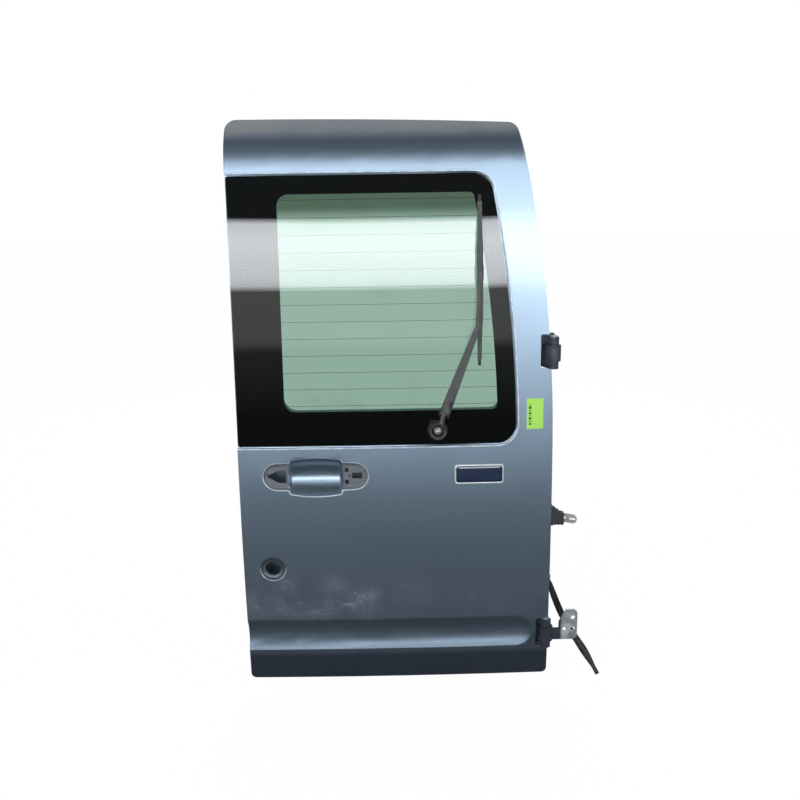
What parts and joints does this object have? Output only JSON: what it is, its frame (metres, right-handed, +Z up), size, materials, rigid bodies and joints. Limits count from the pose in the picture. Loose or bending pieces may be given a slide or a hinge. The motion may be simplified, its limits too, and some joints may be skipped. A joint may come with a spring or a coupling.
{
  "type": "van rear door",
  "caption": "Hinged rear door of a small van: pressed skin and inner pan, bonded heated window with wiper, hinges with leaves, check strap and a cut wiring loom.",
  "frame": {"origin": "middle of the lower hinge leaf's bolt holes, on the face that bolts to the van's pillar", "axes": "+X towards the hinge side seen from outside, +Y into the van, +Z up"},
  "size_m": [0.8235, 0.1765, 1.2819],
  "materials": {
    "body_paint": "satin metallic blue-grey paint",
    "inner_paint": "thinner coat of the same paint",
    "tinted_glass": "green-tinted toughened glass",
    "black_frit": "fired black border",
    "sealant": "black bonding bead",
    "black_hinge": "dark coated steel",
    "zinc_steel": "zinc-plated steel",
    "black_plastic": "moulded plastic",
    "black_rubber": "moulded rubber",
    "loom_tape": "cloth tape over wires",
    "cast_alloy": "die-cast housing",
    "wiper_black": "satin black powder coat"
  },
  "bodies": {
    "lower_leaf": {"lower_hinge_leaf": "zinc_steel"},
    "upper_leaf": {"upper_hinge_leaf": "black_hinge"},
    "wiper": {"wiper_spindle": "zinc_steel", "wiper_nut": "zinc_steel", "wiper_head": "wiper_black", "wiper_lift_pin": "zinc_steel"},
    "wiper_arm": {"wiper_arm": "wiper_black", "wiper_blade_bridge": "wiper_black", "wiper_blade_yokes": "wiper_black", "wiper_blade_rubber": "black_rubber"},
    "check_strap": {"check_strap": "zinc_steel"},
    "door": {"outer_panel": "body_paint", "handle_recess": "body_paint", "lock_cup": "body_paint", "inner_panel": "inner_paint", "window_frame": "inner_paint", "window_tunnel": "inner_paint", "inner_wall": "inner_paint", "hem_flange": "inner_paint", "window_glass": "tinted_glass", "frit_border": "black_frit", "glass_bead": "sealant", "lower_hinge_bracket": "black_hinge", "upper_hinge_bracket": "black_hinge", "lower_hinge_pin": "zinc_steel", "upper_hinge_pin": "zinc_steel", "check_box": "black_plastic", "check_boot": "black_rubber", "harness_grommet": "black_rubber", "harness_loom": "loom_tape", "latch_case": "zinc_steel", "latch_claw": "zinc_steel", "wiper_motor": "cast_alloy", "wiper_bracket": "black_hinge", "wiper_grommet": "black_rubber"}
  },
  "joints": [
    {"name": "door_swing", "type": "hinge", "parent": "lower_leaf", "child": "door", "pos_m": [-0.054, 0.009, 0], "axis": [0, 0, 1], "range_deg": [-90, 90]},
    {"name": "upper_leaf_swing", "type": "hinge", "parent": "door", "child": "upper_leaf", "pos_m": [-0.054, 0.009, 0.63], "axis": [0, 0, -1], "range_deg": [0, 180]},
    {"name": "wiper_sweep", "type": "hinge", "parent": "door", "child": "wiper", "pos_m": [-0.302, 0.01275, 0.464], "axis": [0.0077, -0.9975, 0.0698], "range_deg": [0, 65]},
    {"name": "wiper_lift", "type": "hinge", "parent": "wiper", "child": "wiper_arm", "pos_m": [-0.28758, 0.0015, 0.50223], "axis": [0.9337, -0.0178, -0.3575], "range_deg": [0, 50], "stiffness_Nm_per_rad": 1.5, "springref_deg": -28.65},
    {"name": "check_slide", "type": "slide", "parent": "door", "child": "check_strap", "axis": [0.9709, -0.2064, -0.1219], "range_m": [-0.035, 0.035]}
  ]
}
